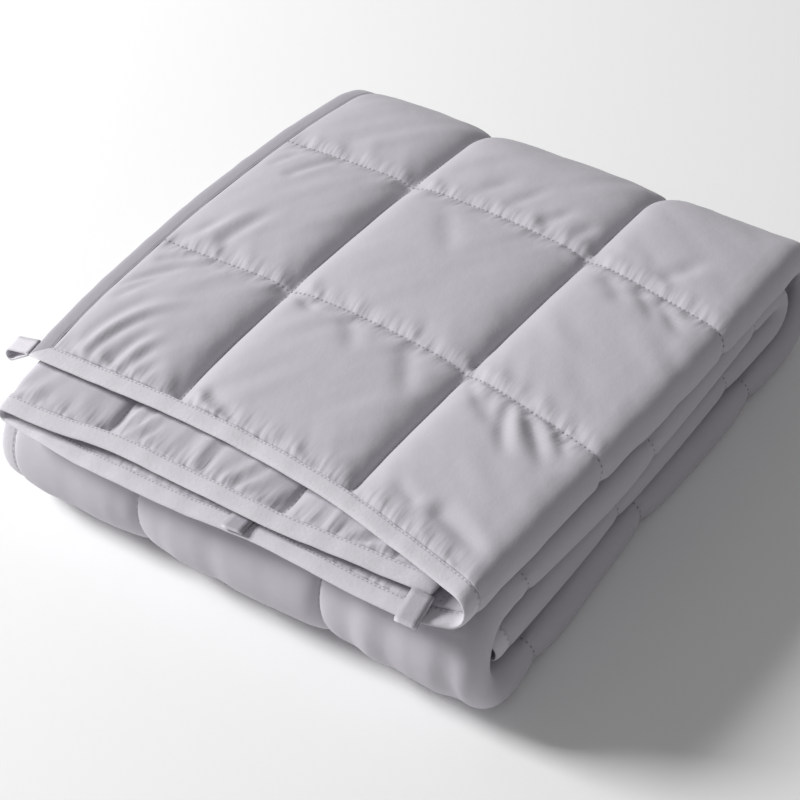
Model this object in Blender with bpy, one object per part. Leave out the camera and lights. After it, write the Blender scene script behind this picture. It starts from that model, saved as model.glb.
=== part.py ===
"""A quilted blanket, folded in three across its width and then rolled in four along its length."""

import bpy
import numpy as np

# Driving dimensions, in metres
BLANKET_WIDTH = 1.041
BLANKET_LENGTH = 1.524
CELLS_ACROSS = 8
CELLS_ALONG = 12
BORDER_CELL = 0.111
LAYER = 0.0087
SEAM_THICKNESS = 0.0024
CROWN_THICKNESS = 0.0080
TOP_PUFF = 0.0036
FOLD_PINCH = 0.80
BINDING_WIDTH = 0.0120
BINDING_THICKNESS = 0.0036
PIECE_GAP = 0.0003
LOOP_WIDTH = 0.0105
LOOP_REACH = 0.0230
TAPE_THICKNESS = 0.0011
LOOP_OPENING = 0.0072

# The letter fold from the front: straight runs of the three layers and the radii of its two half turns
LETTER_RUNS = (0.344, 0.336, 0.400)
LETTER_RADII = (LAYER, LAYER / 2)

# The roll seen from the side: straight runs of the four strips, and the radii of its three half turns
STRIP = 3 * LAYER
ROLL_RUNS = (0.361, 0.313, 0.307, 0.400)
ROLL_RADII = (1.5 * STRIP, STRIP, STRIP / 2)
ROLL_FRONT = -0.045

# How far the short edge is drawn back, by distance across the blanket: (across, drawn back)
DRAWN_BACK = (
    (0.000, 0.043),
    (0.115, 0.050),
    (0.176, 0.050),
    (0.243, 0.045),
    (0.320, 0.031),
    (0.357, 0.023),
    (0.384, 0.010),
    (0.427, 0.008),
    (0.505, 0.009),
    (0.563, 0.003),
    (0.644, 0.000),
    (0.731, 0.005),
    (0.760, 0.007),
    (0.802, 0.014),
    (0.930, 0.016),
    (1.041, 0.025),
)
DRAWN_BACK_UNTIL = 0.273
DRAWN_BACK_EVEN = 0.420
DRAWN_BACK_REST = 0.016

# Extra puff of the outer face, flattened where it rests, by distance along the blanket: (along, share)
PUFF_SHOWN = (
    (0.000, 1.0),
    (0.320, 1.0),
    (0.404, 0.5),
    (0.464, 0.6),
    (0.504, 1.5),
    (0.744, 1.5),
    (0.784, 0.5),
    (0.844, 0.5),
    (0.884, 0.0),
)

# Shift of the strip's two long sides, by distance along the roll: sideways, then front to back
STRIP_DRIFT = (
    # along, left side in x, right side in x, left side in y, right side in y
    (0.000, 0.006, -0.010, 0.000, 0.000),
    (0.100, -0.008, -0.006, 0.000, 0.000),
    (0.200, -0.012, 0.000, 0.000, 0.000),
    (0.300, -0.009, 0.004, 0.000, 0.000),
    (0.380, -0.003, 0.002, 0.000, 0.000),
    (0.560, 0.000, -0.002, -0.004, 0.000),
    (0.640, -0.002, -0.005, -0.005, 0.000),
    (0.700, -0.004, -0.005, -0.006, 0.000),
    (0.760, -0.006, -0.002, -0.005, 0.004),
    (0.820, -0.006, 0.000, -0.005, 0.003),
    (0.880, -0.006, -0.008, -0.005, 0.003),
    (1.000, -0.002, 0.001, -0.004, 0.000),
    (1.180, 0.000, -0.003, -0.002, 0.000),
    (1.524, 0.000, -0.006, 0.000, 0.000),
)

# Height kept by the settled stack, by distance from its front: (back, share of height)
SETTLING = (
    (-0.060, 1.00),
    (0.150, 1.00),
    (0.220, 0.99),
    (0.280, 0.965),
    (0.330, 0.915),
    (0.380, 0.860),
)


def clear_scene():
    """Removes every object of the startup scene."""
    for item in list(bpy.data.objects):
        bpy.data.objects.remove(item, do_unlink=True)


def spiral(distance, start, runs, radii):
    """Points and left-hand normals along straight runs joined by half turns to the right."""
    along = np.full_like(distance, start[0])
    height = np.full_like(distance, start[1])
    turned = np.zeros_like(distance)
    heading = 1.0
    reached = 0.0
    for step, run in enumerate(runs):
        low = -np.inf if step == 0 else 0.0
        high = np.inf if step == len(runs) - 1 else run
        along = along + heading * np.clip(distance - reached, low, high)
        reached += run
        if step == len(runs) - 1:
            break
        radius = radii[step]
        angle = np.clip((distance - reached) / radius, 0.0, np.pi)
        along = along + heading * radius * np.sin(angle)
        height = height - heading * radius * (1 - np.cos(angle))
        turned = turned + angle
        reached += np.pi * radius
        heading = -heading
    return along, height, np.sin(turned), np.cos(turned)


def drawn_back(across, along):
    """Offset of a point along the roll: uneven near the front edge, the same all across by the back fold."""
    table = np.array(DRAWN_BACK)
    uneven = np.interp(across, table[:, 0], table[:, 1]) - DRAWN_BACK_REST
    fade = (DRAWN_BACK_EVEN - along) / (DRAWN_BACK_EVEN - DRAWN_BACK_UNTIL)
    fade = np.clip(fade, 0.0, 1.0)
    return DRAWN_BACK_REST + uneven * fade * fade * (3 - 2 * fade)


def fold(across, along, lift):
    """Folds points of the flat blanket, lifted off its middle by lift, into the stack."""
    x, height, normal_x, normal_h = spiral(across, (0.0, 2.5 * LAYER), LETTER_RUNS, LETTER_RADII)
    x = x + normal_x * lift
    height = height + normal_h * lift - STRIP / 2
    drift = np.array(STRIP_DRIFT)
    travel = along + drawn_back(across, along)
    left, right, left_y, right_y = (np.interp(travel, drift[:, 0], side) for side in drift.T[1:])
    share = x / LETTER_RUNS[0]
    x = x + left + (right - left) * share
    start = (ROLL_FRONT, 3.5 * STRIP)
    y, z, normal_y, normal_z = spiral(travel, start, ROLL_RUNS, ROLL_RADII)
    y = y + normal_y * height + left_y + (right_y - left_y) * share
    settled = np.array(SETTLING)
    z = (z + normal_z * height) * np.interp(y, settled[:, 0], settled[:, 1])
    return np.stack([x, y, np.maximum(z, 0.0)], axis=-1)


def seam_lines(total, cells, border):
    """Seam positions across one direction, from one binding's inner edge to the other."""
    inner = BINDING_WIDTH + PIECE_GAP
    middle = np.linspace(border, total - border, cells - 1)
    return np.concatenate([[inner], middle, [total - inner]])


def stations(lines, fine, folds):
    """Grid positions: shared fractions of each cell, more in the first cells, even steps round each fold."""
    found = list(lines)
    for index in range(len(lines) - 1):
        low, high = lines[index], lines[index + 1]
        fractions = (0.10, 0.32, 0.68, 0.90) if index < fine else (0.12, 0.50, 0.88)
        found += [low + (high - low) * part for part in fractions]
    for low, high, steps in folds:
        kept = [spot for spot in found if spot <= low - 0.004 or spot >= high + 0.004]
        inside = [spot for spot in lines if low - 0.004 < spot < high + 0.004]
        even = np.linspace(low, high, steps + 1)
        for spot in inside:
            even[np.argmin(abs(even - spot))] = spot
        found = kept + list(even)
    return np.unique(np.round(found, 6))


def fold_spans(runs, radii, shift):
    """Start and end of each half turn, as distances along a cloth that begins shift along the path."""
    spans = []
    reached = -shift
    for run, radius in zip(runs, radii):
        reached += run
        spans.append((reached, reached + np.pi * radius))
        reached += np.pi * radius
    return spans


def inside_turns(distance, spans, margin):
    """1 within a half turn, easing to 0 over the margin outside it."""
    found = np.zeros_like(distance)
    for low, high in spans:
        away = np.maximum(low - distance, distance - high)
        found = np.maximum(found, np.clip(1 - away / margin, 0.0, 1.0))
    return found


def cell_rise(distance, lines):
    """0 at each seam and 1 in the middle of a cell, as a half wave."""
    index = np.clip(np.searchsorted(lines, distance, side="right") - 1, 0, len(lines) - 2)
    part = (distance - lines[index]) / (lines[index + 1] - lines[index])
    return np.sin(np.pi * np.clip(part, 0.0, 1.0))


def half_thickness(across, along, across_lines, along_lines):
    """Half the thickness of the filled cloth: thin on the seams, full in the cells, pinched in folds."""
    rise = (cell_rise(across, across_lines) * cell_rise(along, along_lines)) ** 0.45
    letter = inside_turns(across, fold_spans(LETTER_RUNS, LETTER_RADII, 0.0), 0.020)
    roll = inside_turns(along, fold_spans(ROLL_RUNS, ROLL_RADII, DRAWN_BACK_REST), 0.030)
    pinch = 1 - (1 - FOLD_PINCH) * np.maximum(letter, roll)
    crown = CROWN_THICKNESS * pinch
    return (SEAM_THICKNESS + (crown - SEAM_THICKNESS) * rise) / 2, rise


def closed_sheet(upper, lower):
    """Points and faces of the closed body between two grids of points."""
    rows, columns = upper.shape[:2]
    count = rows * columns
    index = np.arange(count).reshape(rows, columns)
    a, b = index[:-1, :-1].ravel(), index[1:, :-1].ravel()
    c, d = index[1:, 1:].ravel(), index[:-1, 1:].ravel()
    top = np.stack([a, b, c, d], axis=1)
    bottom = np.stack([d, c, b, a], axis=1) + count
    rim = np.concatenate([index[:-1, 0], index[-1, :-1], index[:0:-1, -1], index[0, :0:-1]])
    after = np.roll(rim, -1)
    side = np.stack([after, rim, rim + count, after + count], axis=1)
    points = np.concatenate([upper.reshape(-1, 3), lower.reshape(-1, 3)])
    return points, np.concatenate([top, bottom, side])


def closed_ring(sections):
    """Points and faces of a tube whose last section meets its first. The shape is (steps, corners, 3)."""
    steps, corners = sections.shape[:2]
    index = np.arange(steps * corners).reshape(steps, corners)
    onward = np.roll(index, -1, axis=0)
    faces = np.stack(
        [index, np.roll(index, -1, axis=1), np.roll(onward, -1, axis=1), onward], axis=-1
    )
    return sections.reshape(-1, 3), faces.reshape(-1, 4)


def add_object(name, points, faces, colour, roughness):
    """One named object with its own material, its faces pointing out."""
    mesh = bpy.data.meshes.new(name)
    mesh.from_pydata(points.tolist(), [], faces.tolist())
    mesh.update()
    corners = points[faces]
    first = np.cross(corners[:, 1] - corners[:, 0], corners[:, 2] - corners[:, 0])
    second = np.cross(corners[:, 2] - corners[:, 0], corners[:, 3] - corners[:, 0])
    volume = (corners[:, 0] * (first + second)).sum()
    if volume < 0:
        mesh.flip_normals()
    mesh.polygons.foreach_set("use_smooth", np.ones(len(mesh.polygons), dtype=bool))
    material = bpy.data.materials.new(name)
    material.use_nodes = True
    shader = material.node_tree.nodes["Principled BSDF"]
    shader.inputs["Base Color"].default_value = colour
    shader.inputs["Roughness"].default_value = roughness
    mesh.materials.append(material)
    item = bpy.data.objects.new(name, mesh)
    bpy.context.scene.collection.objects.link(item)
    return item


def stack_grid():
    """Seam lines and grid positions shared by the body and its binding."""
    across_lines = seam_lines(BLANKET_WIDTH, CELLS_ACROSS, BORDER_CELL)
    along_lines = seam_lines(BLANKET_LENGTH, CELLS_ALONG, BLANKET_LENGTH / CELLS_ALONG)
    letter = fold_spans(LETTER_RUNS, LETTER_RADII, 0.0)
    roll = fold_spans(ROLL_RUNS, ROLL_RADII, DRAWN_BACK_REST)
    across_folds = [(letter[0][0], letter[0][1], 4), (letter[1][0], letter[1][1], 3)]
    along_folds = [(roll[0][0] - 0.02, roll[0][1], 7), (roll[1][0], roll[1][1], 6)]
    along_folds.append((roll[2][0], roll[2][1], 4))
    across = stations(across_lines, 3, across_folds)
    along = stations(along_lines, 3, along_folds)
    return across_lines, along_lines, across, along


def body_piece():
    """The filled and quilted cloth, one closed solid following every layer of the stack."""
    across_lines, along_lines, across, along = stack_grid()
    wide, far = np.meshgrid(across, along, indexing="ij")
    half, rise = half_thickness(wide, far, across_lines, along_lines)
    table = np.array(PUFF_SHOWN)
    shown = np.interp(far, table[:, 0], table[:, 1])
    shown = shown * np.clip((0.370 - wide) / 0.03, 0.0, 1.0)
    upper = fold(wide, far, half + TOP_PUFF * rise * shown)
    lower = fold(wide, far, -half)
    return closed_sheet(upper, lower)


def binding_piece():
    """The tape that wraps all four edges, one ring with mitred corners."""
    across, along = stack_grid()[2:]
    low = BINDING_WIDTH + PIECE_GAP
    half = BINDING_THICKNESS / 2
    inset = np.array([BINDING_WIDTH, BINDING_WIDTH, 0.0014, 0.0, 0.0014])
    lift = np.array([-0.8 * half, 0.8 * half, half, 0.0, -half])
    far_side = BLANKET_LENGTH - inset
    right_side = BLANKET_WIDTH - inset
    wide, far = [inset], [inset]
    for spot in along:
        wide.append(inset)
        far.append(np.full(5, spot))
    wide.append(inset)
    far.append(far_side)
    for spot in across:
        wide.append(np.full(5, spot))
        far.append(far_side)
    wide.append(right_side)
    far.append(far_side)
    for spot in along[::-1]:
        wide.append(right_side)
        far.append(np.full(5, spot))
    wide.append(right_side)
    far.append(inset)
    for spot in across[::-1]:
        wide.append(np.full(5, spot))
        far.append(inset)
    wide, far = np.array(wide), np.array(far)
    return closed_ring(fold(wide, far, np.broadcast_to(lift, wide.shape)))


def loop_outlines(reach, opening, turns):
    """Outer and inner outline of a tape loop seen from its side: flat at the root, round at the far end."""
    angle = np.linspace(-np.pi / 2, np.pi / 2, turns)
    inner = opening / 2
    outer = inner + TAPE_THICKNESS
    centre = reach - outer
    turn = np.stack([np.cos(angle), np.sin(angle)], axis=1)
    root = TAPE_THICKNESS + 0.0001
    outside = np.concatenate([[[0.0, -root]], [centre, 0.0] + outer * turn, [[0.0, root]]])
    mouth = 0.0035
    inside = np.concatenate([[[mouth, -0.0001]], [centre, 0.0] + inner * turn, [[mouth, 0.0001]]])
    return outside, inside


def corner_loop_piece():
    """The tape loop at the left front corner, standing open beside the long edge."""
    outside, inside = loop_outlines(LOOP_REACH, LOOP_OPENING, 9)
    sag = 0.22
    reach = np.stack([outside[:, 0], outside[:, 0], inside[:, 0], inside[:, 0]], axis=1)
    lift = np.stack([outside[:, 1], outside[:, 1], inside[:, 1], inside[:, 1]], axis=1)
    wide = -PIECE_GAP - reach
    far = np.broadcast_to([0.001, 0.001 + LOOP_WIDTH, 0.001 + LOOP_WIDTH, 0.001], wide.shape)
    return closed_ring(fold(wide, far, lift - sag * reach))


def end_loop_piece():
    """The pressed tape loop at the far corner of the short edge, drooping onto the layer below."""
    outside, inside = loop_outlines(0.019, 0.0008, 3)
    reach = np.stack([outside[:, 0], outside[:, 0], inside[:, 0], inside[:, 0]], axis=1)
    lift = np.stack([outside[:, 1], outside[:, 1], inside[:, 1], inside[:, 1]], axis=1)
    far = -PIECE_GAP - reach
    high = BLANKET_WIDTH - 0.001
    wide = np.broadcast_to([high, high - LOOP_WIDTH, high - LOOP_WIDTH, high], far.shape)
    return closed_ring(fold(wide, far, lift - 0.30 * reach))


def middle_loop_piece():
    """The pressed tape loop at the middle of the short edge, laid on the binding with its end past it."""
    outside, inside = loop_outlines(0.016, 0.0008, 5)
    reach = np.stack([outside[:, 0], outside[:, 0], inside[:, 0], inside[:, 0]], axis=1)
    lift = np.stack([outside[:, 1], outside[:, 1], inside[:, 1], inside[:, 1]], axis=1)
    far = 0.010 - reach
    low = 0.5 * (BLANKET_WIDTH - LOOP_WIDTH)
    wide = np.broadcast_to([low, low + LOOP_WIDTH, low + LOOP_WIDTH, low], far.shape)
    laid = -0.5 * BINDING_THICKNESS - PIECE_GAP - TAPE_THICKNESS - 0.0004
    return closed_ring(fold(wide, far, lift + laid))


def main():
    clear_scene()
    cloth, tape = (0.565, 0.555, 0.610, 1.0), (0.600, 0.595, 0.655, 1.0)
    pieces = [
        ("quilted_body", body_piece(), cloth, 0.85),
        ("edge_binding", binding_piece(), tape, 0.95),
        ("corner_loop", corner_loop_piece(), tape, 0.95),
        ("middle_loop", middle_loop_piece(), tape, 0.95),
        ("end_loop", end_loop_piece(), tape, 0.95),
    ]
    everything = np.concatenate([piece[0] for _, piece, _, _ in pieces])
    middle = (everything.min(axis=0) + everything.max(axis=0)) / 2
    middle[2] = 0.0
    for name, (points, faces), colour, roughness in pieces:
        add_object(name, points - middle, faces, colour, roughness)


main()
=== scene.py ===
import math

import bpy
import numpy as np
from mathutils import Matrix, Vector


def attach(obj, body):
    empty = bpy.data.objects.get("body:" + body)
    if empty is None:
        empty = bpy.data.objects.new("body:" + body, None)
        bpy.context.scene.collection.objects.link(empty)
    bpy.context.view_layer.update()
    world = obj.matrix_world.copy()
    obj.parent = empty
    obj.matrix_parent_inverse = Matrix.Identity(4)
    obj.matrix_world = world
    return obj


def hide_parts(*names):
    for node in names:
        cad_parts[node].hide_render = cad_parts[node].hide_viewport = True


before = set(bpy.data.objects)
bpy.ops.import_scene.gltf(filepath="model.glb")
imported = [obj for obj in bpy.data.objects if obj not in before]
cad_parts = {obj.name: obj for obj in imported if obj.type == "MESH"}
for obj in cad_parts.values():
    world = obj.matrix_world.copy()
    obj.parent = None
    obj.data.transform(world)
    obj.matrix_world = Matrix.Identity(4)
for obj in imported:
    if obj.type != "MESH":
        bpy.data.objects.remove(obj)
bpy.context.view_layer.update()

# The studio: a pale floor, one large soft light high on the left and a dim even world. The camera
# looks down on the front right corner of the folded stack, turned a little about its own view.
# Places are in metres and angles in radians.
camera_turn, camera_rise, camera_roll = 0.71787, 0.77176, -0.12311
camera_target = np.array([0.02031, -0.03644, 0.05000])
camera_distance = 1.19202
picture_width_px, lens_length_px = 800, 1900
sensor_width = 36.0
world_strength = 0.26
light_place, light_target = Vector((-2.76, -0.90, 2.04)), Vector((0.0, 0.0, 0.05))
light_side, light_watts = 1.0, 138.0


def camera_axes(turn, rise, roll):
    """Right, up and back of a camera: turned round the stack, raised, then rolled about its view."""
    right = np.array([math.cos(turn), math.sin(turn), 0.0])
    back = np.array([math.sin(turn) * math.cos(rise), -math.cos(turn) * math.cos(rise), math.sin(rise)])
    up = np.cross(back, right)
    rolled_right = right * math.cos(roll) + up * math.sin(roll)
    rolled_up = up * math.cos(roll) - right * math.sin(roll)
    return rolled_right, rolled_up, back


camera_data = bpy.data.cameras.new("photo_camera")
camera_data.sensor_width = sensor_width
camera_data.lens = sensor_width * lens_length_px / picture_width_px
camera = bpy.data.objects.new("photo_camera", camera_data)
bpy.context.scene.collection.objects.link(camera)
turned = np.eye(4)
turned[:3, :3] = np.stack(camera_axes(camera_turn, camera_rise, camera_roll), axis=1)
turned[:3, 3] = camera_target + turned[:3, 2] * camera_distance
camera.matrix_world = Matrix(turned.tolist())
bpy.context.scene.camera = camera


def linear(code):
    """An sRGB hex colour as linear red, green, blue and alpha."""
    parts = np.array([int(code[i : i + 2], 16) for i in (1, 3, 5)]) / 255
    parts = np.where(parts <= 0.04045, parts / 12.92, ((parts + 0.055) / 1.055) ** 2.4)
    return (*parts.tolist(), 1.0)


# Matt white paper, rolled out flat: it throws even light back up and shows only the soft shadow.
floor_material = bpy.data.materials.new("matt_white_paper")
floor_material.use_nodes = True
paper = floor_material.node_tree.nodes["Principled BSDF"]
paper.inputs["Base Color"].default_value = linear("#FCFCFC")
paper.inputs["Roughness"].default_value = 0.9
floor_reach = 6.0
floor_mesh = bpy.data.meshes.new("studio_floor")
floor_corners = [(x * floor_reach, y * floor_reach, 0.0) for x, y in ((-1, -1), (1, -1), (1, 1), (-1, 1))]
floor_mesh.from_pydata(floor_corners, [], [(0, 1, 2, 3)])
floor_mesh.materials.append(floor_material)
studio_floor = bpy.data.objects.new("studio_floor", floor_mesh)
bpy.context.scene.collection.objects.link(studio_floor)

light_data = bpy.data.lights.new("left_softbox", "AREA")
light_data.shape = "SQUARE"
light_data.size = light_side
light_data.energy = light_watts
left_softbox = bpy.data.objects.new("left_softbox", light_data)
left_softbox.location = light_place
left_softbox.rotation_euler = (light_target - light_place).to_track_quat("-Z", "Y").to_euler()
bpy.context.scene.collection.objects.link(left_softbox)
world = bpy.data.worlds.new("studio_air")
world.use_nodes = True
world.node_tree.nodes["Background"].inputs["Color"].default_value = linear("#F8F8F8")
world.node_tree.nodes["Background"].inputs["Strength"].default_value = world_strength
bpy.context.scene.world = world
bpy.context.scene.view_settings.view_transform = "Standard"

# The filled quilt: two closely woven shell cloths with batting and beads between them, sewn
# together in 8 by 12 cells. It is folded in three across its width, then rolled in four along
# its length, and this one body follows every layer of the stack. Sizes are in metres.
blanket_width, blanket_length = 1.041, 1.524
cells_across, cells_along = 8, 12
border_cell = 0.111
layer = 0.0087
seam_thickness = 0.0024
crown_thickness = 0.0080
top_puff = 0.0036
fold_pinch = 0.80
binding_width, binding_thickness = 0.0120, 0.0036
piece_gap = 0.0003
strip = 3 * layer
letter_runs, letter_radii = (0.344, 0.336, 0.400), (layer, layer / 2)
roll_runs, roll_radii = (0.361, 0.313, 0.307, 0.400), (1.5 * strip, strip, strip / 2)
roll_front = -0.045
stack_middle = np.array([0.167939, 0.161409, 0.0])
# The front short edge isn't straight. The table gives how far it lies behind the front of the roll, by
# distance across the blanket. Further along, this evens out: from the fade's end on, the cloth lies
# drawn_back_rest behind, all across.
drawn_back_rest = 0.016
fade_start, fade_end = 0.273, 0.420
drawn_back_table = np.array(
    [
        (0.000, 0.043),
        (0.115, 0.050),
        (0.176, 0.050),
        (0.243, 0.045),
        (0.320, 0.031),
        (0.357, 0.023),
        (0.384, 0.010),
        (0.427, 0.008),
        (0.505, 0.009),
        (0.563, 0.003),
        (0.644, 0.000),
        (0.731, 0.005),
        (0.760, 0.007),
        (0.802, 0.014),
        (0.930, 0.016),
        (1.041, 0.025),
    ]
)
# Extra puff of the outer face, by distance along the blanket.
puff_table = np.array(
    [
        (0.000, 1.0),
        (0.320, 1.0),
        (0.404, 0.5),
        (0.464, 0.6),
        (0.504, 1.5),
        (0.744, 1.5),
        (0.784, 0.5),
        (0.844, 0.5),
        (0.884, 0.0),
    ]
)
# Shift of the strip's two long sides, by distance along the roll: left and right in x, left and right in y.
strip_drift = np.array(
    [
        (0.000, 0.006, -0.010, 0.000, 0.000),
        (0.100, -0.008, -0.006, 0.000, 0.000),
        (0.200, -0.012, 0.000, 0.000, 0.000),
        (0.300, -0.009, 0.004, 0.000, 0.000),
        (0.380, -0.003, 0.002, 0.000, 0.000),
        (0.560, 0.000, -0.002, -0.004, 0.000),
        (0.640, -0.002, -0.005, -0.005, 0.000),
        (0.700, -0.004, -0.005, -0.006, 0.000),
        (0.760, -0.006, -0.002, -0.005, 0.004),
        (0.820, -0.006, 0.000, -0.005, 0.003),
        (0.880, -0.006, -0.008, -0.005, 0.003),
        (1.000, -0.002, 0.001, -0.004, 0.000),
        (1.180, 0.000, -0.003, -0.002, 0.000),
        (1.524, 0.000, -0.006, 0.000, 0.000),
    ]
)
# Share of its height that the settled stack keeps, by distance from its front.
settling = np.array(
    [
        (-0.060, 1.00),
        (0.150, 1.00),
        (0.220, 0.99),
        (0.280, 0.965),
        (0.330, 0.915),
        (0.380, 0.860),
    ]
)


def spiral(distance, start, runs, radii):
    """Straight runs joined by half turns to the right: position is the start plus each run's clipped
    length along its heading, plus radius times sine and one minus cosine of each turn's angle."""
    along = np.full_like(distance, start[0])
    height = np.full_like(distance, start[1])
    turned_by = np.zeros_like(distance)
    heading, reached = 1.0, 0.0
    for step, run in enumerate(runs):
        last = step == len(runs) - 1
        low, high = (-np.inf if step == 0 else 0.0), (np.inf if last else run)
        along = along + heading * np.clip(distance - reached, low, high)
        reached += run
        if last:
            break
        radius = radii[step]
        angle = np.clip((distance - reached) / radius, 0.0, np.pi)
        along = along + heading * radius * np.sin(angle)
        height = height - heading * radius * (1 - np.cos(angle))
        turned_by = turned_by + angle
        reached += np.pi * radius
        heading = -heading
    return along, height, np.sin(turned_by), np.cos(turned_by)


def smooth_table(table, column, where):
    """A table's column at any place, eased between its rows by a moving average of five samples."""
    shifts = np.array([-0.016, -0.008, 0.0, 0.008, 0.016])
    return np.mean([np.interp(where + shift, table[:, 0], table[:, column]) for shift in shifts], axis=0)


def drawn_back(across, along):
    """Offset of a point along the roll: the table's value by distance across at the front, eased by a smooth
    step to the same offset all across by the back fold."""
    fade = np.clip((fade_end - along) / (fade_end - fade_start), 0.0, 1.0)
    uneven = smooth_table(drawn_back_table, 1, across) - drawn_back_rest
    return drawn_back_rest + uneven * fade * fade * (3 - 2 * fade)


def folded(across, along, lift):
    """Places of points of the flat blanket in the stack: the letter fold's section gives x and the height
    in its strip, and the roll's path and normal carry that section round."""
    x, height, normal_x, normal_h = spiral(across, (0.0, 2.5 * layer), letter_runs, letter_radii)
    x = x + normal_x * lift
    height = height + normal_h * lift - strip / 2
    travel = along + drawn_back(across, along)
    left, right, left_y, right_y = (smooth_table(strip_drift, side, travel) for side in (1, 2, 3, 4))
    share = x / letter_runs[0]
    x = x + left + (right - left) * share
    y, z, normal_y, normal_z = spiral(travel, (roll_front, 3.5 * strip), roll_runs, roll_radii)
    y = y + normal_y * height + left_y + (right_y - left_y) * share
    z = (z + normal_z * height) * smooth_table(settling, 1, y)
    return np.stack([x, y, np.maximum(z, 0.0)], axis=-1) - stack_middle


def seam_lines(total, cells, border):
    """Seam positions in one direction: even between the two border cells."""
    inner = binding_width + piece_gap
    return np.concatenate([[inner], np.linspace(border, total - border, cells - 1), [total - inner]])


def fold_spans(runs, radii, shift):
    """Start and end of each half turn, as distances along a cloth that begins shift along the path."""
    spans, reached = [], -shift
    for run, radius in zip(runs, radii):
        spans.append((reached + run, reached + run + np.pi * radius))
        reached += run + np.pi * radius
    return spans


def inside_turns(distance, spans, margin):
    """1 within a half turn, falling straight to 0 over the margin outside it."""
    found = np.zeros_like(distance)
    for low, high in spans:
        away = np.maximum(low - distance, distance - high)
        found = np.maximum(found, np.clip(1 - away / margin, 0.0, 1.0))
    return found


def cell_parts(distance, lines):
    """Share of the way across its cell, and the distance to the nearest seam."""
    index = np.clip(np.searchsorted(lines, distance, side="right") - 1, 0, len(lines) - 2)
    part = np.clip((distance - lines[index]) / (lines[index + 1] - lines[index]), 0.0, 1.0)
    nearest = np.abs(distance[..., None] - lines).min(axis=-1)
    return part, nearest


lattice = 128


def soft_noise(a, b, seed):
    """Smooth noise from -1 to 1: random values on a square lattice, blended by a smooth step between them."""
    table = np.random.default_rng(seed).uniform(-1.0, 1.0, (lattice, lattice))
    low_a, low_b = np.floor(a), np.floor(b)
    part_a, part_b = a - low_a, b - low_b
    part_a, part_b = (part * part * (3 - 2 * part) for part in (part_a, part_b))
    i, j = low_a.astype(int) % lattice, low_b.astype(int) % lattice
    next_i, next_j = (i + 1) % lattice, (j + 1) % lattice
    top = table[i, j] * (1 - part_a) + table[next_i, j] * part_a
    end = table[i, next_j] * (1 - part_a) + table[next_i, next_j] * part_a
    return top * (1 - part_b) + end * part_b


pucker_start, pucker_sharpness = 0.004, 1.25


def puckers(away, beside, spacing, reach, lean, seed):
    """Gathers square to a seam: noise along the seam, rising from 0 at the stitches and dying out
    away from it over the reach."""
    wave = soft_noise(beside / spacing + lean * away / spacing, away / (3.5 * reach) + 7.0, seed)
    sharp = np.sign(wave) * np.abs(wave) ** pucker_sharpness
    return sharp * (1 - np.exp(-((away / pucker_start) ** 2))) * np.exp(-away / reach)


def closed_sheet(upper, lower):
    """Points and faces of the closed body: the outer grid, the inner grid on every second line of both
    directions, and a rim of five-sided faces, each joining two outer edges to one inner edge."""
    rows, columns = upper.shape[:2]
    index = np.arange(rows * columns).reshape(rows, columns)
    coarse = index.size + np.arange(lower.shape[0] * lower.shape[1]).reshape(lower.shape[:2])
    outer_quads = np.stack([index[:-1, :-1], index[1:, :-1], index[1:, 1:], index[:-1, 1:]], axis=-1)
    inner_quads = np.stack([coarse[:-1, 1:], coarse[1:, 1:], coarse[1:, :-1], coarse[:-1, :-1]], axis=-1)
    fine_rim, coarse_rim = (
        np.concatenate([grid[:-1, 0], grid[-1, :-1], grid[:0:-1, -1], grid[0, :0:-1]])
        for grid in (index, coarse)
    )
    first, middle = fine_rim[0::2], fine_rim[1::2]
    rim = np.stack([np.roll(first, -1), middle, first, coarse_rim, np.roll(coarse_rim, -1)], axis=1)
    points = np.concatenate([upper.reshape(-1, 3), lower.reshape(-1, 3)])
    return points, [np.concatenate([outer_quads.reshape(-1, 4), inner_quads.reshape(-1, 4)]), rim]


def tube_quads(steps, corners):
    """Quads of a closed ring of sections, each section closed round too."""
    index = np.arange(steps * corners).reshape(steps, corners)
    onward = np.roll(index, -1, axis=0)
    quads = np.stack([index, np.roll(index, -1, axis=1), np.roll(onward, -1, axis=1), onward], axis=-1)
    return quads.reshape(-1, 4)


def add_piece(name, points, faces, flat_places, material):
    """One smooth mesh from arrays of faces, each array with its own number of corners. Faces are turned
    out by the sign of the enclosed volume, and the UV map holds each point's place on the flat cloth
    in metres."""
    quads = faces[0]
    corners = points[quads]
    first = np.cross(corners[:, 1] - corners[:, 0], corners[:, 2] - corners[:, 0])
    second = np.cross(corners[:, 2] - corners[:, 0], corners[:, 3] - corners[:, 0])
    if (corners[:, 0] * (first + second)).sum() < 0:
        faces = [group[:, ::-1] for group in faces]
    loops = np.concatenate([group.ravel() for group in faces])
    sizes = np.concatenate([np.full(len(group), group.shape[1]) for group in faces])
    mesh = bpy.data.meshes.new(name)
    mesh.vertices.add(len(points))
    mesh.vertices.foreach_set("co", points.ravel().astype(np.float32))
    mesh.loops.add(len(loops))
    mesh.loops.foreach_set("vertex_index", loops.astype(np.int32))
    mesh.polygons.add(len(sizes))
    mesh.polygons.foreach_set("loop_start", (np.cumsum(sizes) - sizes).astype(np.int32))
    mesh.update(calc_edges=True)
    mesh.shade_smooth()
    flat = mesh.uv_layers.new(name="flat")
    flat.data.foreach_set("uv", flat_places[loops].ravel().astype(np.float32))
    mesh.materials.append(material)
    piece = bpy.data.objects.new(name, mesh)
    bpy.context.scene.collection.objects.link(piece)
    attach(piece, "root")
    return piece


rim_line, turn_margin, closest_lines = 0.0006, 0.001, 0.0005


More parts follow.
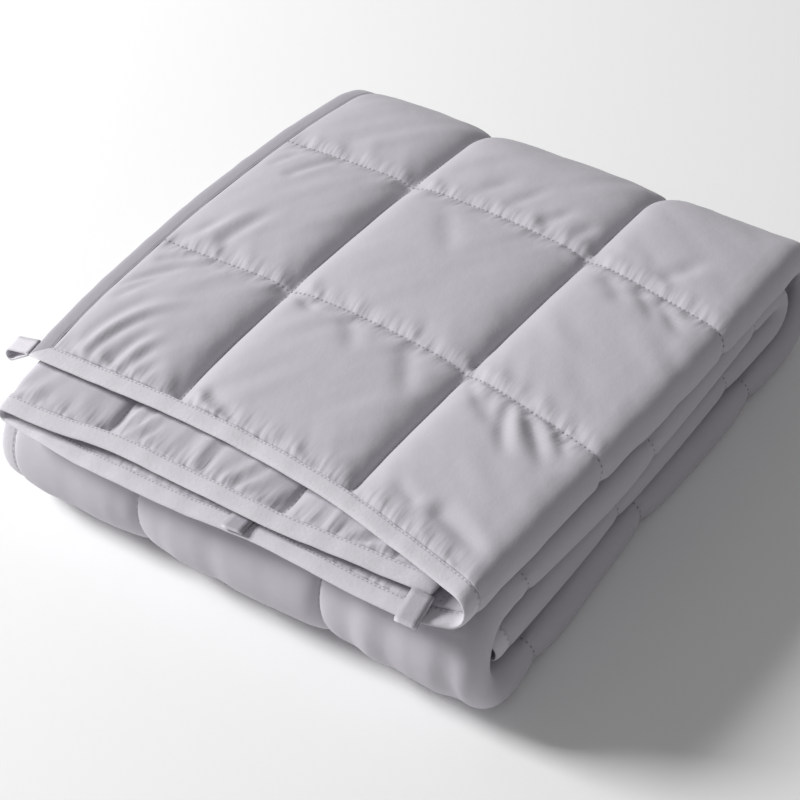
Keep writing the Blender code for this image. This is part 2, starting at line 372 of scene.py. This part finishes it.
def grid_positions(lines, zones, folds):
    """An odd number of grid positions: an even step in each zone, closer beside every seam, and even steps
    round each half turn."""
    found = []
    for low, high, step, beside in zones:
        found.append(np.arange(low, high, step))
        for line in lines[(lines >= low) & (lines < high)]:
            found.append(line + np.array(beside))
    found = np.concatenate([*found, lines, [lines[0] + rim_line, lines[-1] - rim_line]])
    found = found[(found >= lines[0]) & (found <= lines[-1])]
    for low, high, steps in folds:
        found = found[(found < low - turn_margin) | (found > high + turn_margin)]
        kept = lines[(lines >= low) & (lines <= high)]
        found = np.concatenate([found, np.linspace(low, high, steps + 1), kept])
    found = np.unique(np.round(found, 5))
    apart = np.concatenate([[True], np.diff(found) > closest_lines]) | np.isin(found, np.round(lines, 5))
    found = found[apart]
    return found if len(found) % 2 else np.delete(found, -2)


seams_across = seam_lines(blanket_width, cells_across, border_cell)
seams_along = seam_lines(blanket_length, cells_along, blanket_length / cells_along)
letter_folds = fold_spans(letter_runs, letter_radii, 0.0)
roll_folds = fold_spans(roll_runs, roll_radii, drawn_back_rest)
close_by, beside_hidden = (-0.0036, -0.0014, 0.0014, 0.0036), (-0.005, 0.005)
# The grid is fine where the cloth shows and coarse inside the roll.
across_zones = [
    # from, to, step, extra places beside each seam
    (0.00, 0.36, 0.0025, close_by),
    (0.36, 0.72, 0.0240, beside_hidden),
    (0.72, 1.05, 0.0042, close_by),
]
along_zones = [
    # from, to, step, extra places beside each seam
    (0.00, 0.13, 0.0024, close_by),
    (0.13, 0.28, 0.0029, close_by),
    (0.28, 0.40, 0.0046, close_by),
    (0.40, 0.72, 0.0220, beside_hidden),
    (0.72, 0.92, 0.0120, beside_hidden),
    (0.92, 1.53, 0.0240, beside_hidden),
]
letter_turns = [(*span, steps) for span, steps in zip(letter_folds, (12, 8))]
roll_turns = [(*span, steps) for span, steps in zip(roll_folds, (26, 18, 10))]
across_grid = grid_positions(seams_across, across_zones, letter_turns)
along_grid = grid_positions(seams_along, along_zones, roll_turns)
wide, far = np.meshgrid(across_grid, along_grid, indexing="ij")
part_across, near_across = cell_parts(wide, seams_across)
part_along, near_along = cell_parts(far, seams_along)
crown_power = 0.45
rise = (np.sin(np.pi * part_across) * np.sin(np.pi * part_along)) ** crown_power
in_a_fold = np.maximum(inside_turns(wide, letter_folds, 0.020), inside_turns(far, roll_folds, 0.030))
pinch = 1 - (1 - fold_pinch) * in_a_fold
half = (seam_thickness + (crown_thickness * pinch - seam_thickness) * rise) / 2

# What shows of the quilt: the top strip, the band of the middle layer that looks out in front and
# the skins of the front and side folds. There the cells stand fuller, with steep sides, and the
# seams are pulled down into them.
groove_depth, groove_reach, deepest_groove = 0.0047, 0.0064, 0.0042
cross_dip, cross_reach = 0.0012, 0.0045
plump_reach, cross_plump_reach, cross_plump_share = 0.0105, 0.011, 0.72
side_reach, rim_stand, rim_reach = 0.009, 0.0006, 0.008


def fading(distance, start, end):
    """1 up to the start, falling straight to 0 at the end."""
    return np.interp(distance, [start, end], [1.0, 0.0])


# Each pair gives where a part that shows starts to fade and where it is gone, in metres of the flat cloth.
on_top = fading(far, 0.40, 0.46) * fading(wide, 0.365, 0.385)
looks_out = (1 - fading(wide, 0.70, 0.73)) * fading(far, 0.07, 0.10)
outer_skin = fading(wide, 0.380, 0.390)
front_skin = outer_skin * (1 - fading(far, 0.74, 0.77)) * fading(far, 0.87, 0.90)
shown = np.interp(far, puff_table[:, 0], puff_table[:, 1]) * fading(wide, 0.340, 0.370)

# The grooves are half as wide on the front fold, and shallower round the back fold and the front fold.
groove_width = np.interp(far, [0.46, 0.72], [1.0, 0.45])
groove_share = np.interp(far, [0.27, 0.36, 0.46, 0.70, 0.76], [1.0, 0.55, 0.9, 0.9, 0.5])
plump = 1 - np.exp(-near_across / (plump_reach * groove_width))
plump = plump * (1 - cross_plump_share * np.exp(-near_along / cross_plump_reach))
# Cells differ a little in fullness: by a tenth over 50 mm and by half of that over 22 mm.
swell = 1 + 0.10 * soft_noise(wide / 0.05, far / 0.06, 3) + 0.05 * soft_noise(wide / 0.022, far / 0.025, 4)
inner_across = np.abs(wide[..., None] - seams_across[1:-1]).min(axis=-1)
inner_along = np.abs(far[..., None] - seams_along[1:-1]).min(axis=-1)
side_away = np.minimum(wide, blanket_width - wide) - seams_across[0]
rim_away = np.minimum(side_away, np.minimum(far, blanket_length - far) - seams_along[0])
side_fade = 1 - np.exp(-((side_away / side_reach) ** 2))
drawn_down = groove_depth * np.exp(-inner_across / (groove_reach * groove_width))
drawn_down = drawn_down + cross_dip * np.exp(-((inner_along / cross_reach) ** 2))
drawn_down = np.minimum(drawn_down, deepest_groove) * np.maximum(outer_skin, looks_out)
drawn_down = drawn_down * side_fade * groove_share

# The creases of the top cells, one soft trough or ridge a row, on the flat cloth.
creases = [
    # across, along, to across, to along, bend, half width, height
    (0.039, 0.008, 0.066, 0.068, 0.0070, 0.0040, -0.0027),
    (0.033, 0.010, 0.078, 0.090, 0.0095, 0.0048, 0.0024),
    (0.026, 0.012, 0.062, 0.092, 0.0085, 0.0046, -0.0017),
    (0.055, 0.006, 0.072, 0.056, 0.0048, 0.0038, -0.0023),
    (0.061, 0.007, 0.080, 0.054, 0.0036, 0.0038, 0.0017),
    (0.067, 0.005, 0.080, 0.044, 0.0026, 0.0036, -0.0020),
    (0.078, 0.005, 0.088, 0.034, 0.0010, 0.0036, -0.0016),
    (0.020, 0.010, 0.010, 0.042, 0.0010, 0.0038, -0.0018),
    (0.012, 0.070, 0.062, 0.122, 0.0032, 0.0042, -0.0032),
    (0.018, 0.066, 0.056, 0.116, 0.0032, 0.0040, 0.0022),
    (0.020, 0.060, 0.050, 0.110, 0.0032, 0.0042, -0.0026),
    (0.019, 0.106, 0.052, 0.123, 0.0010, 0.0036, -0.0020),
    (0.046, 0.130, 0.062, 0.188, 0.0000, 0.0044, -0.0018),
    (0.036, 0.131, 0.052, 0.186, 0.0010, 0.0046, 0.0013),
    (0.024, 0.131, 0.040, 0.164, 0.0010, 0.0038, -0.0018),
    (0.020, 0.220, 0.037, 0.252, 0.0010, 0.0040, -0.0022),
    (0.039, 0.212, 0.059, 0.252, 0.0010, 0.0042, -0.0020),
    (0.116, 0.024, 0.159, 0.003, 0.0000, 0.0036, 0.0022),
    (0.122, 0.030, 0.162, 0.010, 0.0000, 0.0036, -0.0014),
    (0.186, 0.002, 0.244, 0.026, -0.0032, 0.0036, -0.0028),
    (0.168, 0.003, 0.196, 0.018, -0.0010, 0.0036, -0.0024),
    (0.205, 0.123, 0.238, 0.078, 0.0000, 0.0070, -0.0022),
    (0.160, 0.121, 0.186, 0.092, 0.0010, 0.0058, -0.0018),
    (0.118, 0.125, 0.144, 0.112, -0.0010, 0.0036, -0.0024),
    (0.250, 0.125, 0.284, 0.098, 0.0010, 0.0042, -0.0022),
    (0.269, 0.126, 0.291, 0.096, -0.0020, 0.0042, -0.0020),
    (0.283, 0.128, 0.317, 0.082, -0.0052, 0.0045, -0.0025),
    (0.289, 0.127, 0.322, 0.090, -0.0030, 0.0040, 0.0016),
    (0.293, 0.127, 0.338, 0.088, 0.0015, 0.0045, -0.0028),
    (0.304, 0.127, 0.338, 0.102, 0.0015, 0.0040, 0.0013),
    (0.316, 0.127, 0.342, 0.106, 0.0010, 0.0040, -0.0016),
    (0.294, 0.034, 0.350, 0.027, 0.0010, 0.0066, -0.0038),
    (0.290, 0.028, 0.264, 0.036, 0.0000, 0.0044, -0.0018),
    (0.146, 0.240, 0.184, 0.190, 0.0020, 0.0070, -0.0014),
    (0.262, 0.250, 0.300, 0.222, 0.0010, 0.0058, -0.0018),
    (0.288, 0.250, 0.322, 0.226, 0.0010, 0.0048, -0.0026),
    (0.302, 0.250, 0.340, 0.228, 0.0010, 0.0046, -0.0026),
    (0.296, 0.262, 0.318, 0.300, 0.0000, 0.0058, -0.0026),
    (0.150, 0.260, 0.174, 0.296, 0.0000, 0.0052, -0.0018),
    (0.176, 0.258, 0.196, 0.300, 0.0000, 0.0046, -0.0018),
    (0.205, 0.258, 0.222, 0.290, 0.0000, 0.0046, -0.0020),
    (0.228, 0.257, 0.238, 0.286, 0.0000, 0.0042, -0.0020),
]


def crease_height(across, along):
    """Sum of the creases: each is its height times a bell across the bent line from its start to its end,
    times a smooth rise and fall along that line."""
    total = np.zeros_like(across)
    for from_across, from_along, to_across, to_along, bend, width, height in creases:
        run_across, run_along = to_across - from_across, to_along - from_along
        length = math.hypot(run_across, run_along)
        ahead = ((across - from_across) * run_across + (along - from_along) * run_along) / length**2
        aside = ((along - from_along) * run_across - (across - from_across) * run_along) / length
        aside = aside - bend * 4 * ahead * (1 - ahead)
        taper = np.clip(ahead / 0.2, 0.0, 1.0) * np.clip((1 - ahead) / 0.5, 0.0, 1.0)
        total += height * taper * taper * (3 - 2 * taper) * np.exp(-((aside / width) ** 2))
    return total


def streaks(across, along, turn, spacing, length, seed):
    """Long soft folds in one direction: noise on axes turned from the cloth's, drawn out along one
    of them."""
    ahead = across * math.cos(turn) + along * math.sin(turn)
    aside = along * math.cos(turn) - across * math.sin(turn)
    return soft_noise(aside / spacing + 20.0, ahead / length + 20.0, seed)


# The gathers at the seams: tightest right of the second long seam, long and deep on the middle layer's front.
cross_gather, long_gather, front_gather_height = 0.0032, 0.0008, 0.0031
front_spacing, front_start, front_reach = 0.0150, 0.003, 0.030
front_wander, front_lean = 0.75, 12.5
drape_height, fold_drape_height = 0.0006, 0.0015
hidden_share, crease_share_at_seams = 0.35, 0.4
tightest_at = seams_along[1]
tight = 1 + 0.5 * np.exp(-(((far - tightest_at) / 0.03) ** 2)) * (1 - fading(wide, seams_across[2], 0.2575))
gather = cross_gather * tight * puckers(near_along, wide, spacing=0.0085, reach=0.0095, lean=0.5, seed=11)
gather += long_gather * puckers(near_across, far, spacing=0.0110, reach=0.009, lean=-0.4, seed=12)
front_away = np.maximum(far - seams_along[0], 0.0)
front_turns = wide / front_spacing + front_wander * soft_noise(wide / 0.024, far / 0.040, 21)
front_turns = front_turns - front_lean * front_away
front_waves = np.sin(2 * np.pi * front_turns) * (0.60 + 0.75 * soft_noise(wide / 0.016, far / 0.030, 22))
front_gather = front_gather_height * front_waves * (1 - np.exp(-front_away / front_start))
front_gather = front_gather * np.exp(-front_away / front_reach)

# The drape: long soft folds that run from the left front corner on the left, and the other way on the right.
left_share = fading(wide, 0.23, 0.27)
drape = left_share * streaks(wide, far, turn=1.02, spacing=0.011, length=0.055, seed=41)
drape += (1 - left_share) * streaks(wide, far, turn=-0.55, spacing=0.012, length=0.045, seed=42)
fold_drape = streaks(wide, far, turn=1.5, spacing=0.014, length=0.070, seed=43)

outer = half + rim_stand * np.exp(-((rim_away / rim_reach) ** 2)) - drawn_down
outer += top_puff * plump * shown * swell
outer += gather * np.where(on_top > 0, on_top, 0.5) * side_fade + front_gather * looks_out
crease_share = crease_share_at_seams + (1 - crease_share_at_seams) * plump
outer += on_top * crease_share * side_fade * (crease_height(wide, far) + drape_height * drape)
outer += front_skin * plump * fold_drape_height * fold_drape
inner = half + hidden_share * gather * side_fade * (1 - looks_out) + drawn_down
upper = folded(wide, far, outer)
lower = folded(wide, far, -inner)[::2, ::2]
quilt_points, quilt_faces = closed_sheet(upper, lower)
flat_grid = np.stack([wide, far], axis=-1)
flat_places = np.concatenate([flat_grid.reshape(-1, 2), flat_grid[::2, ::2].reshape(-1, 2)])

# Brushed microfibre shell cloth: a fine plain weave with no shine, which gives an even lilac grey,
# a faint bloom at grazing angles and small darker needle holes on the seams.
shell_cloth = bpy.data.materials.new("brushed_shell_cloth")
shell_cloth.use_nodes = True
tree = shell_cloth.node_tree
shader = tree.nodes["Principled BSDF"]
shader.inputs["Roughness"].default_value = 0.88
shader.inputs["IOR"].default_value = 1.45
shader.inputs["Specular IOR Level"].default_value = 0.25
shader.inputs["Sheen Weight"].default_value = 0.12
shader.inputs["Sheen Roughness"].default_value = 0.45
shell_colours, hole_colour = ("#C1BEC5", "#C8C5CC"), "#98959F"
# Stitches are 3.4 mm long, as on quilting machines, and the thread fills 0.62 of that.
stitch_pitch, thread_share = 0.0034, 0.62


def add_node(tree, kind, settings, inputs):
    """A shader node with its settings, and each input set to a value or linked to a socket."""
    node = tree.nodes.new(kind)
    for name, value in settings.items():
        setattr(node, name, value)
    for key, value in inputs.items():
        if isinstance(value, bpy.types.NodeSocket):
            tree.links.new(value, node.inputs[key])
        else:
            node.inputs[key].default_value = value
    return node


flat_cloth = add_node(tree, "ShaderNodeUVMap", {"uv_map": "flat"}, {}).outputs["UV"]
places = add_node(tree, "ShaderNodeSeparateXYZ", {}, {0: flat_cloth})


def near_lines(tree, place, start, step, reach):
    """1 on the lines at start plus whole steps, falling straight to 0 at the reach from the nearest one."""
    moved = add_node(tree, "ShaderNodeMath", {"operation": "SUBTRACT"}, {0: place, 1: start})
    away = add_node(tree, "ShaderNodeMath", {"operation": "PINGPONG"}, {0: moved.outputs[0], 1: step / 2})
    falling = {"Value": away.outputs[0], "From Max": reach, "To Min": 1.0, "To Max": 0.0}
    return add_node(tree, "ShaderNodeMapRange", {}, falling).outputs[0]


def sewn_row(tree, line, beside, pitch, share):
    """The threads of a sewn line, which fill a share of each pitch, and the needle holes in the rest."""
    part = add_node(tree, "ShaderNodeMath", {"operation": "WRAP"}, {0: beside, 1: pitch, 2: 0.0}).outputs[0]
    filled = {0: part, 1: share * pitch}
    filled = add_node(tree, "ShaderNodeMath", {"operation": "LESS_THAN"}, filled).outputs[0]
    threads = add_node(tree, "ShaderNodeMath", {"operation": "MULTIPLY"}, {0: line, 1: filled}).outputs[0]
    holes = add_node(tree, "ShaderNodeMath", {"operation": "SUBTRACT"}, {0: line, 1: threads}).outputs[0]
    return threads, holes


cell_length = blanket_length / cells_along
cell_width = (blanket_width - 2 * border_cell) / (cells_across - 2)
cross_line = near_lines(tree, places.outputs["Y"], start=cell_length, step=cell_length, reach=0.0008)
long_line = near_lines(tree, places.outputs["X"], start=border_cell, step=cell_width, reach=0.0007)
cross_holes = sewn_row(tree, cross_line, places.outputs["X"], stitch_pitch, thread_share)[1]
long_holes = sewn_row(tree, long_line, places.outputs["Y"], stitch_pitch, thread_share)[1]
# The holes of the long seams hardly show, deep in their grooves.
long_hole_share, hole_strength = 0.3, 1.3
both_holes = {0: long_holes, 1: long_hole_share, 2: cross_holes}
holes = add_node(tree, "ShaderNodeMath", {"operation": "MULTIPLY_ADD"}, both_holes).outputs[0]
at_most_one = {"operation": "MULTIPLY", "use_clamp": True}
holes = add_node(tree, "ShaderNodeMath", at_most_one, {0: holes, 1: hole_strength}).outputs[0]
object_place = add_node(tree, "ShaderNodeTexCoord", {}, {}).outputs["Object"]
mottle_inputs = {"Scale": 22.0, "Detail": 3.0, "Roughness": 0.6, "Vector": object_place}
mottle = add_node(tree, "ShaderNodeTexNoise", {}, mottle_inputs).outputs[0]
shade_inputs = {0: mottle, 6: linear(shell_colours[0]), 7: linear(shell_colours[1])}
shade = add_node(tree, "ShaderNodeMix", {"data_type": "RGBA"}, shade_inputs)
sewn_inputs = {0: holes, 6: shade.outputs[2], 7: linear(hole_colour)}
sewn = add_node(tree, "ShaderNodeMix", {"data_type": "RGBA"}, sewn_inputs)
tree.links.new(sewn.outputs[2], shader.inputs["Base Color"])
# Only the front short edge has such a line: the next one would be four blankets away.
short_edge_step = 4 * blanket_length
# The gathers beside the cross seams and the bound short edge are about 7 mm apart and fade within 19 mm.
gather_map = {"Scale": (150.0, 26.0, 1.0), "Rotation": (0.0, 0.0, 0.12), "Vector": flat_cloth}
gather_place = add_node(tree, "ShaderNodeMapping", {}, gather_map).outputs[0]
gather_inputs = {"Scale": 1.0, "Detail": 1.5, "Roughness": 0.5, "Vector": gather_place}
gathers = add_node(tree, "ShaderNodeTexNoise", {}, gather_inputs).outputs[0]
by_cross = near_lines(tree, places.outputs["Y"], start=cell_length, step=cell_length, reach=0.015)
by_short_edge = near_lines(tree, places.outputs["Y"], start=binding_width, step=short_edge_step, reach=0.019)
by_both = {0: by_cross, 1: by_short_edge}
by_seam = add_node(tree, "ShaderNodeMath", {"operation": "MAXIMUM"}, by_both).outputs[0]
by_seam = add_node(tree, "ShaderNodeMath", {"operation": "POWER"}, {0: by_seam, 1: 1.5}).outputs[0]
gathers = add_node(tree, "ShaderNodeMath", {"operation": "MULTIPLY"}, {0: gathers, 1: by_seam}).outputs[0]
# The weave's threads are 0.3 mm apart; they are drawn at 1.1 mm, the finest that shows at this size.
weave_inputs = {"Scale": 900.0, "Detail": 2.0, "Vector": object_place}
weave = add_node(tree, "ShaderNodeTexNoise", {}, weave_inputs).outputs[0]
crinkle_inputs = {"Scale": 75.0, "Detail": 4.0, "Roughness": 0.55, "Vector": object_place}
crinkle = add_node(tree, "ShaderNodeTexNoise", {}, crinkle_inputs).outputs[0]
relief = 0.0
for pattern, height in ((weave, 0.10), (crinkle, 0.6), (gathers, 4.4), (holes, -1.0)):
    raised = {0: pattern, 1: height, 2: relief}
    relief = add_node(tree, "ShaderNodeMath", {"operation": "MULTIPLY_ADD"}, raised).outputs[0]
bump = add_node(tree, "ShaderNodeBump", {}, {"Strength": 0.75, "Distance": 0.0008, "Height": relief})
tree.links.new(bump.outputs[0], shader.inputs["Normal"])

quilt = add_piece("quilt_cloth", quilt_points, quilt_faces, flat_places, shell_cloth)
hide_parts("quilted_body")

# The binding: a soft tape about 25 mm wide, folded in half over the raw edge and sewn down
# with one row of stitches, all the way round with mitred corners. Its inner edge lies about
# level with the quilt's rim.
binding_half = binding_thickness / 2
# Half of the tape's section, from the middle of its inner edge over the top to the middle of its outer edge.
upper_inset = np.array([0.0122, 0.0121, 0.0116, 0.0092, 0.0064, 0.0038, 0.0018, 0.0005, 0.0])
upper_lift = np.array([0.0, 0.85, 0.95, 1.02, 1.05, 0.96, 0.74, 0.40, 0.0]) * binding_half
profile_inset = np.concatenate([upper_inset, upper_inset[-2:0:-1]])
profile_lift = np.concatenate([upper_lift, -upper_lift[-2:0:-1]])


def edge_walk(inset, across_stops, along_stops):
    """The profile's distances across and along at each stop, once round the blanket. Each corner is one
    mitred section, where both distances are measured in from the edges."""
    level = np.zeros(len(inset))
    out, back = along_stops[:, None] + level, along_stops[::-1, None] + level
    right, left = across_stops[:, None] + level, across_stops[::-1, None] + level
    far_side, right_side = blanket_length - inset, blanket_width - inset
    wide = [inset[None], 0 * out + inset, inset[None], right]
    wide += [right_side[None], 0 * back + right_side, right_side[None], left]
    far = [inset[None], out, far_side[None], 0 * right + far_side]
    far += [far_side[None], back, inset[None], 0 * left + inset]
    return np.concatenate(wide), np.concatenate(far)


mitre_reach, stop_step, closest_stops = 0.0125, 0.0040, 0.0006


def even_stops(total, folds):
    """Stops 4 mm apart between the two mitres, closer together round each half turn."""
    stops = [np.arange(mitre_reach, total - mitre_reach, stop_step)]
    stops += [np.linspace(low, high, count) for low, high, count in folds]
    stops = np.unique(np.round(np.concatenate(stops), 4))
    return stops[np.concatenate([[True], np.diff(stops) > closest_stops])]


across_turns = [(*span, count) for span, count in zip(letter_folds, (18, 12))]
along_turns = [(*span, count) for span, count in zip(roll_folds, (30, 24, 16))]
across_stops = even_stops(blanket_width, across_turns)
along_stops = even_stops(blanket_length, along_turns)
edge_wide, edge_far = edge_walk(profile_inset, across_stops, along_stops)
tip = len(upper_inset) - 1
walked = np.cumsum(np.concatenate([[0.0], np.hypot(np.diff(edge_wide[:, tip]), np.diff(edge_far[:, tip]))]))
# The tape isn't quite even: its fullness changes about every 8 mm and it ripples about every 11 mm.
uneven_share, ripple_height = 0.18, 0.0005
fullness = 1 + uneven_share * soft_noise(walked / 0.008, walked * 0 + 0.5, 32)
ripple = ripple_height * soft_noise(walked / 0.011, walked * 0 + 3.5, 31)
edge_lift = profile_lift * fullness[:, None] + ripple[:, None]
edge_sections = folded(edge_wide, edge_far, edge_lift)
tape_places = np.stack(np.broadcast_arrays(walked[:, None], profile_inset), axis=-1)

# Brushed polyester tape: slightly lighter and bluer than the shell, with a short soft nap and
# a row of machine stitches near its inner edge. Its colour also carries painted shade on the sides that run
# front to back.
tape_cloth = bpy.data.materials.new("brushed_binding_tape")
tape_cloth.use_nodes = True
tree = tape_cloth.node_tree
shader = tree.nodes["Principled BSDF"]
shader.inputs["Roughness"].default_value = 0.95
shader.inputs["Specular IOR Level"].default_value = 0.15
shader.inputs["Sheen Weight"].default_value = 0.25
shader.inputs["Sheen Roughness"].default_value = 0.5
# The third colour is painted shade, for the tape's sides that run front to back.
tape_colours, painted_shade_colour, tape_stitch_colour = ("#D0CDD4", "#DDDAE0"), "#AFACB4", "#A9A6AF"
tape_stitch_inset, tape_stitch_pitch, tape_thread_share = 0.0110, 0.0030, 0.45
flat_tape = add_node(tree, "ShaderNodeUVMap", {"uv_map": "flat"}, {}).outputs["UV"]
places = add_node(tree, "ShaderNodeSeparateXYZ", {}, {0: flat_tape})
row_step = 4 * binding_width
row = near_lines(tree, places.outputs["Y"], start=tape_stitch_inset, step=row_step, reach=0.0008)
stitches = sewn_row(tree, row, places.outputs["X"], tape_stitch_pitch, tape_thread_share)[0]
object_place = add_node(tree, "ShaderNodeTexCoord", {}, {}).outputs["Object"]
nap_inputs = {"Scale": 420.0, "Detail": 3.0, "Roughness": 0.7, "Vector": object_place}
nap = add_node(tree, "ShaderNodeTexNoise", {}, nap_inputs).outputs[0]
shade_inputs = {0: nap, 6: linear(tape_colours[0]), 7: linear(tape_colours[1])}
shade = add_node(tree, "ShaderNodeMix", {"data_type": "RGBA"}, shade_inputs)
# Painted shade: the sides of the tape that run front to back, across the light, have their colour mixed
# toward a darker grey, so they look shaded.
run = add_node(tree, "ShaderNodeTangent", {"direction_type": "UV_MAP", "uv_map": "flat"}, {}).outputs[0]
run_y = add_node(tree, "ShaderNodeSeparateXYZ", {}, {0: run}).outputs["Y"]
front_to_back = add_node(tree, "ShaderNodeMath", {"operation": "MULTIPLY"}, {0: run_y, 1: run_y}).outputs[0]
painted_shade_inputs = {0: front_to_back, 6: shade.outputs[2], 7: linear(painted_shade_colour)}
painted_shade_mix = add_node(tree, "ShaderNodeMix", {"data_type": "RGBA"}, painted_shade_inputs)
sewn_inputs = {0: stitches, 6: painted_shade_mix.outputs[2], 7: linear(tape_stitch_colour)}
sewn = add_node(tree, "ShaderNodeMix", {"data_type": "RGBA"}, sewn_inputs)
tree.links.new(sewn.outputs[2], shader.inputs["Base Color"])
sunk_row = {0: row, 1: -0.5, 2: nap}
relief = add_node(tree, "ShaderNodeMath", {"operation": "MULTIPLY_ADD"}, sunk_row).outputs[0]
bump = add_node(tree, "ShaderNodeBump", {}, {"Strength": 0.6, "Distance": 0.0005, "Height": relief})
tree.links.new(bump.outputs[0], shader.inputs["Normal"])
edge_points, edge_places = edge_sections.reshape(-1, 3), tape_places.reshape(-1, 2)
binding = add_piece("binding_tape", edge_points, [tube_quads(*edge_wide.shape)], edge_places, tape_cloth)
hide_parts("edge_binding")

# The tie loops: short lengths of the same tape folded double, with both ends caught under the
# binding. One stands open at the left front corner, one lies pressed on the binding at the
# middle of the short edge and one hangs at its far corner.
tape_thickness = 0.0011
slit, eye_start = 0.0001, 0.0035
across_steps = 5


def loop_outlines(reach, opening, turns):
    """Outer and inner outline of a folded tape from its side: straight from the root, and round at
    the far end."""
    angle = np.linspace(-np.pi / 2, np.pi / 2, turns)
    inside_radius = opening / 2
    outside_radius = inside_radius + tape_thickness
    centre = reach - outside_radius
    turn = np.stack([np.cos(angle), np.sin(angle)], axis=1)
    legs = np.linspace(0.0, 1.0, 7)[1:-1, None]
    outlines = []
    outer_leg, inner_leg = (outside_radius, 0.0, tape_thickness + slit), (inside_radius, eye_start, slit)
    for radius, start, half_gap in (outer_leg, inner_leg):
        arc = [centre, 0.0] + radius * turn
        low, high = np.array([start, -half_gap]), np.array([start, half_gap])
        lower_leg, upper_leg = low + (arc[0] - low) * legs, arc[-1] + (high - arc[-1]) * legs
        outlines.append(np.concatenate([[low], lower_leg, arc, upper_leg, [high]]))
    return outlines


def add_loop(node, root, out_across, reach, width, opening, turns, start, laid, sag):
    """A folded tape carried out from the edge: it starts a distance out, runs on across or along
    while it sinks by the sag, and has its width the other way, from the root on."""
    outside, inside = loop_outlines(reach, opening, turns)
    width_share = np.linspace(0.0, 1.0, across_steps)
    walk = np.concatenate([np.zeros(1), np.cumsum(np.hypot(*np.diff(outside, axis=0).T))])
    shell_out = np.repeat(outside[:, None], across_steps, axis=1)
    shell_in = np.repeat(inside[:, None], across_steps, axis=1)[:, ::-1]
    ring = np.concatenate([shell_out, shell_in], axis=1)
    width_place = np.concatenate([width_share, width_share[::-1]]) * width
    outward, lift = start + ring[..., 0], laid + ring[..., 1] - sag * ring[..., 0]
    beside = np.broadcast_to(width_place, outward.shape) + root
    points = folded(-outward, beside, lift) if out_across else folded(beside, -outward, lift)
    place = np.stack(np.broadcast_arrays(walk[:, None], width_place * 0.4), axis=-1).reshape(-1, 2)
    name = node.replace("_loop", "_tie_loop")
    piece = add_piece(name, points.reshape(-1, 3), [tube_quads(*outward.shape)], place, tape_cloth)
    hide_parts(node)
    return piece


laid_on_binding = -binding_half - piece_gap - tape_thickness - 0.0004
loops = [
    # node, root, across, reach, width, opening, turns, start, laid, sag
    ("corner_loop", 0.001, True, 0.0245, 0.0125, 0.0078, 17, piece_gap, 0.0, 0.48),
    ("middle_loop", 0.5125, False, 0.0118, 0.0140, 0.0008, 9, -0.0115, laid_on_binding, 0.0),
    ("end_loop", 1.0290, False, 0.0175, 0.0145, 0.0016, 9, piece_gap, 0.0, 0.50),
]
tie_loops = [add_loop(*loop) for loop in loops]
